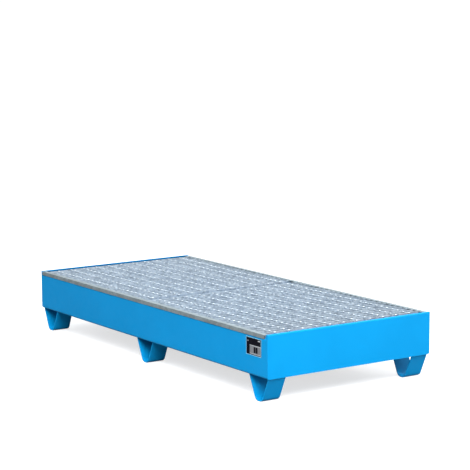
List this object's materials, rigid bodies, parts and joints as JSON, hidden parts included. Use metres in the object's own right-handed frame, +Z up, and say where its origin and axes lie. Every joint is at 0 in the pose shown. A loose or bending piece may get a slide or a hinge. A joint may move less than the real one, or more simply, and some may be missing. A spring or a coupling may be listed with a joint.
{
  "type": "spill containment pallet",
  "caption": "Long shallow steel sump tray on bent V feet, with two lift-out welded steel gratings as its deck.",
  "frame": {"origin": "middle of the footprint, on the floor under the feet", "axes": "+X along the length towards the end with the rating plate, +Z up, front long side at -Y"},
  "size_m": [1.8, 0.8, 0.269],
  "materials": {
    "blue_paint": "light blue powder coat, semi-gloss, fine orange peel",
    "galvanised_steel": "hot-dip galvanised, dull bright with faint spangle",
    "printed_plate": "black printed plate with a pale border and blank grey fields"
  },
  "bodies": {
    "tray": {"tub_sheet": "blue_paint", "end_wall_left": "blue_paint", "end_wall_right": "blue_paint", "tray_seam_welds": "blue_paint", "foot_front_left": "blue_paint", "foot_front_middle": "blue_paint", "foot_front_right": "blue_paint", "foot_back_left": "blue_paint", "foot_back_middle": "blue_paint", "foot_back_right": "blue_paint", "foot_welds": "blue_paint", "rating_plate": "printed_plate"},
    "left_grating": {"grating_left_bearing_bars": "galvanised_steel", "grating_left_outer_bar": "galvanised_steel", "grating_left_inner_bar": "galvanised_steel", "grating_left_cross_rods": "galvanised_steel", "grating_left_front_band": "galvanised_steel", "grating_left_back_band": "galvanised_steel"},
    "right_grating": {"grating_right_bearing_bars": "galvanised_steel", "grating_right_outer_bar": "galvanised_steel", "grating_right_inner_bar": "galvanised_steel", "grating_right_cross_rods": "galvanised_steel", "grating_right_front_band": "galvanised_steel", "grating_right_back_band": "galvanised_steel"}
  },
  "joints": [
    {"name": "lift_left", "type": "slide", "parent": "tray", "child": "left_grating", "axis": [0, 0, 1], "range_m": [0, 0.25]},
    {"name": "lift_right", "type": "slide", "parent": "tray", "child": "right_grating", "axis": [0, 0, 1], "range_m": [0, 0.25]}
  ]
}
